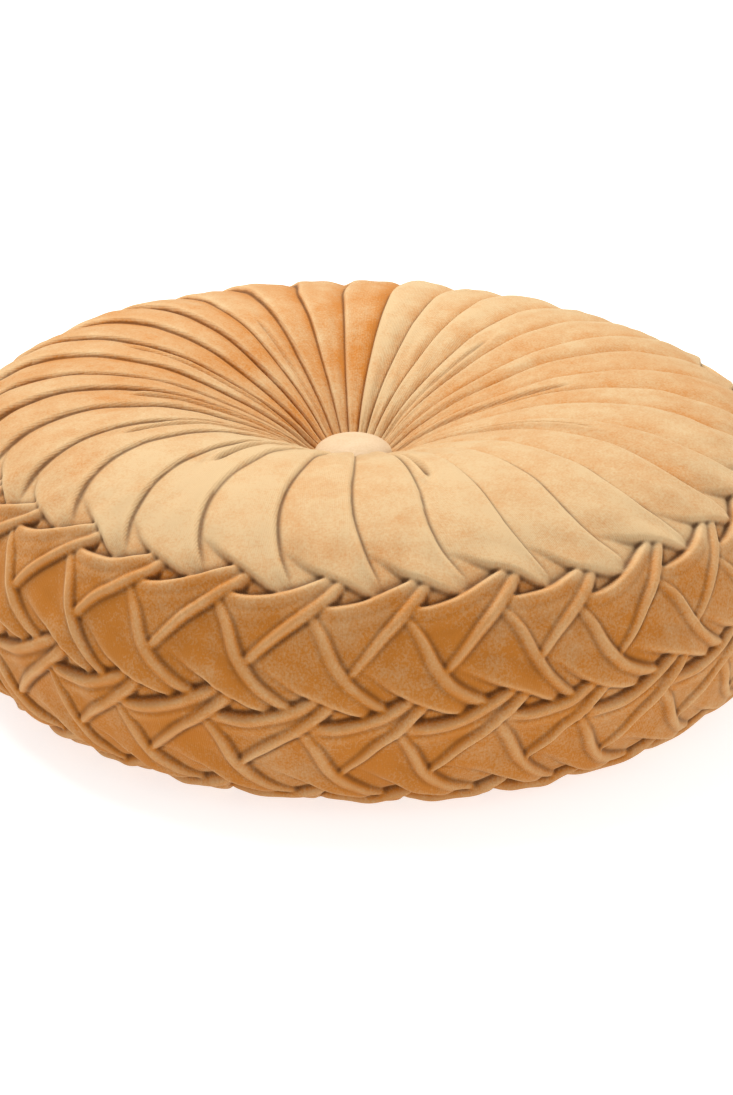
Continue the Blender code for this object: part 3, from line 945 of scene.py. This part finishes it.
# %% [markdown]
# ## The covered buttons
# The button is a shell with a scrap of the same velvet stretched over it. By hand it grows from one
# circle at its foot: out to the rim, up and over the dome, ring by ring, each ring an extrusion that is
# lifted and scaled. The middle is closed by merging the last ring.

# %% Rings of the button
BUTTON_SIDES = 96
BUTTON_FOOT = 0.70
FOOT_INSET = 0.3
# share of the radius, share of the height
DOME = (
    (0.86, 0.04),
    (0.97, 0.12),
    (1.00, 0.24),
    (0.99, 0.36),
    (0.95, 0.50),
    (0.88, 0.63),
    (0.78, 0.76),
    (0.66, 0.86),
    (0.52, 0.93),
    (0.36, 0.975),
    (0.18, 0.995),
)


def button_shape(name, low, high, side):
    """A covered button between two corners; side is 1 if its dome looks up, -1 if down."""
    middle = (low + high) / 2.0
    wide = (high.x - low.x) / 2.0
    tall = high.z - low.z
    foot = low.z if side > 0 else high.z
    centre = Vector((middle.x, middle.y, foot))
    bpy.ops.object.select_all(action="DESELECT")
    bpy.ops.mesh.primitive_circle_add(
        vertices=BUTTON_SIDES,
        radius=wide * BUTTON_FOOT,
        fill_type="NGON",
        location=centre,
    )
    button = bpy.context.object
    button.name = name
    button.data.name = name
    bpy.ops.object.mode_set(mode="EDIT")
    bpy.ops.mesh.select_all(action="SELECT")
    bpy.ops.mesh.inset(thickness=wide * FOOT_INSET)
    bpy.ops.mesh.select_all(action="DESELECT")
    bpy.ops.mesh.select_mode(type="EDGE")
    bpy.ops.mesh.select_non_manifold()
    last_radius = BUTTON_FOOT
    last_height = 0.0
    for share, rise in DOME:
        lift = (rise - last_height) * tall * side
        bpy.ops.mesh.extrude_region_move(TRANSFORM_OT_translate={"value": (0.0, 0.0, lift)})
        grown = share / last_radius
        bpy.ops.transform.resize(value=(grown, grown, 1.0), center_override=centre)
        last_radius = share
        last_height = rise
    lift = (1.0 - last_height) * tall * side
    bpy.ops.mesh.extrude_region_move(TRANSFORM_OT_translate={"value": (0.0, 0.0, lift)})
    bpy.ops.mesh.merge(type="CENTER")
    bpy.ops.mesh.select_all(action="SELECT")
    bpy.ops.mesh.normals_make_consistent(inside=False)
    bpy.ops.object.mode_set(mode="OBJECT")
    bpy.ops.object.transform_apply(location=True, rotation=True, scale=True)
    button.data.shade_smooth()
    return button


# In the photo the top button sits a little higher than its solid
BUTTON_RISES = Vector((0.0, 0.0, 3.5 * MM))
top_button = button_shape("top_button_cover", button_box[0] + BUTTON_RISES, button_box[1] + BUTTON_RISES, 1)
under_button = button_shape("under_button_cover", under_box[0], under_box[1], -1)
print("buttons", len(top_button.data.polygons), "faces each")

# %% [markdown]
# ## Velvet
# Velvet is a thick pile, so it looks palest where it is seen from the side and darkest where one looks
# straight into it; the shader's sheen does that. The nap is blotchy where hands have brushed it, the
# knitted back shows as fine ribs, the crests get a painted cream highlight and the grooves between
# folds a painted deep brown shade.

# %% Small helpers for the material
# The two colour sockets of a mix node have the same names as its number sockets
COLOUR_SOCKETS = (6, 7)


def node(tree, kind, **settings):
    """A shader node with its settings."""
    made = tree.nodes.new(kind)
    for name, value in settings.items():
        setattr(made, name, value)
    return made


def noise(tree, where, scale, detail=3.0):
    """Soft noise at a number of blotches a metre."""
    made = node(tree, "ShaderNodeTexNoise")
    made.inputs["Scale"].default_value = scale
    made.inputs["Detail"].default_value = detail
    tree.links.new(where, made.inputs["Vector"])
    return made.outputs["Fac"]


def compute(tree, operation, first, second=0.0, third=0.0):
    """One sum on values or sockets."""
    made = node(tree, "ShaderNodeMath", operation=operation)
    for socket, value in zip(made.inputs, (first, second, third)):
        if isinstance(value, float):
            socket.default_value = value
        else:
            tree.links.new(value, socket)
    return made.outputs[0]


def blend(tree, share, first, second):
    """Mix two colours, each a tuple or a socket."""
    made = node(tree, "ShaderNodeMix", data_type="RGBA")
    tree.links.new(share, made.inputs["Factor"])
    for number_of_socket, value in zip(COLOUR_SOCKETS, (first, second)):
        socket = made.inputs[number_of_socket]
        if isinstance(value, tuple):
            socket.default_value = value
        else:
            tree.links.new(value, socket)
    return made.outputs[2]


def stored(tree, name):
    """A value that the cloth carries."""
    return node(tree, "ShaderNodeAttribute", attribute_name=name).outputs["Fac"]


# %% The velvet
# The tone runs from GOLD to PALE and holds painted light and sheen as well as the pile's own shades
PALE = (0.575, 0.395, 0.208, 1.0)
GOLD = (0.470, 0.164, 0.022, 1.0)
# Deep brown of the painted shade in the grooves and creases
DEEP = (0.060, 0.016, 0.004, 1.0)
# Cream of the painted highlight on the crests
HIGHLIGHT_CREAM = (0.720, 0.490, 0.250, 1.0)
BUTTON_LOW = (0.530, 0.370, 0.215, 1.0)
BUTTON_HIGH = (0.650, 0.490, 0.325, 1.0)
# Blotches a metre
PATCHES = 45.0
STROKES = 190.0
FIBRES = 1000.0
# Shares of the painted cream highlight on the crests and of the painted deep brown shade in the grooves
CREST_HIGHLIGHT = 0.45
SHADED = 0.80
RIB_HEIGHT = 0.20
PILE_DEPTH = 0.30 * MM


def velvet(name, dark, light, has_values):
    """Velvet between two tones; has_values tells whether the mesh carries the values of the cloth."""
    material = bpy.data.materials.new(name)
    material.use_nodes = True
    tree = material.node_tree
    shader = tree.nodes["Principled BSDF"]
    place = node(tree, "ShaderNodeTexCoord").outputs["Object"]
    patches = noise(tree, place, PATCHES)
    strokes = noise(tree, place, STROKES)
    fibres = noise(tree, place, FIBRES, 2.0)
    # Each noise swings around a middle of a half, which is taken off again
    nap = compute(tree, "SUBTRACT", patches, 0.50)
    nap = compute(tree, "MULTIPLY_ADD", strokes, 0.5, compute(tree, "SUBTRACT", nap, 0.25))
    nap = compute(tree, "MULTIPLY_ADD", fibres, 1.0, compute(tree, "SUBTRACT", nap, 0.50))
    nap = compute(tree, "ADD", nap, stored(tree, "tone") if has_values else 0.5)
    clamp = node(tree, "ShaderNodeClamp")
    tree.links.new(nap, clamp.inputs["Value"])
    colour = blend(tree, clamp.outputs[0], dark, light)
    height = compute(tree, "MULTIPLY_ADD", fibres, 0.6, compute(tree, "MULTIPLY", strokes, 0.5))
    if has_values:
        crest_value = stored(tree, "crest")
        # Painted highlight: cream laid on the crests of the folds
        painted_highlight = compute(tree, "MULTIPLY", compute(tree, "MAXIMUM", crest_value, 0.0), CREST_HIGHLIGHT)
        colour = blend(tree, painted_highlight, colour, HIGHLIGHT_CREAM)
        # Painted shade: deep brown laid in the grooves and creases
        painted_shade = compute(tree, "MULTIPLY", compute(tree, "MINIMUM", crest_value, 0.0), -SHADED)
        colour = blend(tree, painted_shade, colour, DEEP)
        weave = node(tree, "ShaderNodeUVMap", uv_map="weave").outputs["UV"]
        split = node(tree, "ShaderNodeSeparateXYZ")
        tree.links.new(weave, split.inputs["Vector"])
        ribs = compute(tree, "SINE", compute(tree, "MULTIPLY", split.outputs["X"], 2.0 * math.pi))
        height = compute(tree, "MULTIPLY_ADD", ribs, RIB_HEIGHT, height)
    bump = node(tree, "ShaderNodeBump")
    bump.inputs["Strength"].default_value = 0.6
    bump.inputs["Distance"].default_value = PILE_DEPTH
    tree.links.new(height, bump.inputs["Height"])
    tree.links.new(colour, shader.inputs["Base Color"])
    tree.links.new(bump.outputs["Normal"], shader.inputs["Normal"])
    rough = compute(tree, "MULTIPLY_ADD", strokes, 0.2, 0.72)
    tree.links.new(rough, shader.inputs["Roughness"])
    shader.inputs["Specular IOR Level"].default_value = 0.10
    shader.inputs["Sheen Weight"].default_value = 0.50
    shader.inputs["Sheen Roughness"].default_value = 0.35
    shader.inputs["Sheen Tint"].default_value = (1.0, 0.82, 0.50, 1.0)
    return material


cover_velvet = velvet("golden_velvet", GOLD, PALE, True)
button_velvet = velvet("golden_button_velvet", BUTTON_LOW, BUTTON_HIGH, False)
for band in bands.values():
    band.data.materials.append(cover_velvet)
    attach(band, "root")
    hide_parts("cover")
for button, part in ((top_button, "top_button"), (under_button, "under_button")):
    button.data.materials.append(button_velvet)
    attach(button, "root")
    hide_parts(part)
print("pieces", len(bands) + 2)

# %% [markdown]
# ## Floor, light and camera
# The photo is a plain product picture on white, lit softly from above, with no hard shadow. A pale
# floor, one broad light above and a little behind to the left, a weaker one from the right and a bright
# surrounding give the same look. The camera was fitted to the outline and the knot lines of the photo.

# %% Floor
FLOOR_SIZE = 12.0
FLOOR_BELOW = 0.5 * MM
WHITE = (1.0, 1.0, 1.0, 1.0)
bpy.ops.object.select_all(action="DESELECT")
bpy.ops.mesh.primitive_plane_add(size=FLOOR_SIZE, location=(0.0, 0.0, -FLOOR_BELOW))
floor = bpy.context.object
floor.name = "floor"
floor_paint = bpy.data.materials.new("floor_paint")
floor_paint.use_nodes = True
paint = floor_paint.node_tree.nodes["Principled BSDF"]
paint.inputs["Base Color"].default_value = (0.55, 0.55, 0.55, 1.0)
paint.inputs["Roughness"].default_value = 0.8
paint.inputs["Emission Color"].default_value = WHITE
paint.inputs["Emission Strength"].default_value = 0.70
floor.data.materials.append(floor_paint)

# %% Light
# name, place, watts, size
LIGHTS = (
    ("key_light", (-0.4, 0.5, 1.5), 31.0, 0.9),
    ("side_light", (1.3, -0.8, 0.8), 5.0, 1.0),
)
LOOKED_AT = Vector((0.0, 0.0, 0.05))
SURROUNDING = 0.62


def soft_light(name, place, watts, size):
    """A square light that looks at the pillow."""
    bpy.ops.object.select_all(action="DESELECT")
    bpy.ops.object.light_add(type="AREA", location=place)
    lamp = bpy.context.object
    lamp.name = name
    lamp.data.energy = watts
    lamp.data.size = size
    aim = LOOKED_AT - lamp.location
    lamp.rotation_euler = aim.to_track_quat("-Z", "Y").to_euler()
    return lamp


for name, place, watts, size in LIGHTS:
    soft_light(name, place, watts, size)
world = bpy.data.worlds.new("studio")
bpy.context.scene.world = world
world.use_nodes = True
background = world.node_tree.nodes["Background"]
background.inputs["Color"].default_value = WHITE
background.inputs["Strength"].default_value = SURROUNDING

# %% Camera
CAMERA_PLACE = (-0.0013, -0.909, 0.449)
LOOKS_DOWN = 24.6
LENS = 69.93
bpy.ops.object.select_all(action="DESELECT")
bpy.ops.object.camera_add(location=CAMERA_PLACE, rotation=(math.radians(90.0 - LOOKS_DOWN), 0.0, 0.0))
camera = bpy.context.object
camera.data.lens = LENS
bpy.context.scene.camera = camera
bpy.context.scene.view_settings.view_transform = "Standard"
